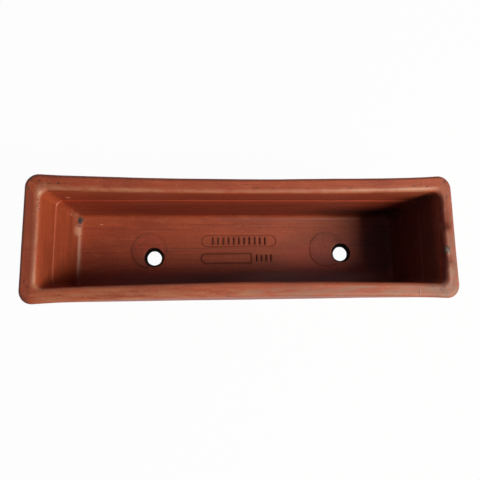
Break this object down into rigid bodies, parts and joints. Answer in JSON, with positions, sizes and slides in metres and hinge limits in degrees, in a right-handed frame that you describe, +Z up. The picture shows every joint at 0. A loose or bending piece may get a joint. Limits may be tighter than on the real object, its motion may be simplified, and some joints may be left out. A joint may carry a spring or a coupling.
{
  "type": "window box planter",
  "caption": "Long narrow open-topped trough of fired clay with a thick rounded rim band, two drain holes in the floor and two foot bars underneath.",
  "frame": {"origin": "centre of the footprint, on the surface that the foot bars stand on", "axes": "+X along the trough, -Y its front, +Z up out of its open mouth"},
  "size_m": [0.4, 0.116, 0.122],
  "materials": {
    "terracotta": "matte"
  },
  "bodies": {
    "root": {"front_rim": "terracotta", "back_rim": "terracotta", "left_rim": "terracotta", "right_rim": "terracotta", "front_wall": "terracotta", "back_wall": "terracotta", "left_wall": "terracotta", "right_wall": "terracotta", "floor": "terracotta", "left_foot_bar": "terracotta", "right_foot_bar": "terracotta", "upper_floor_mark": "terracotta", "lower_floor_mark": "terracotta"}
  },
  "joints": []
}
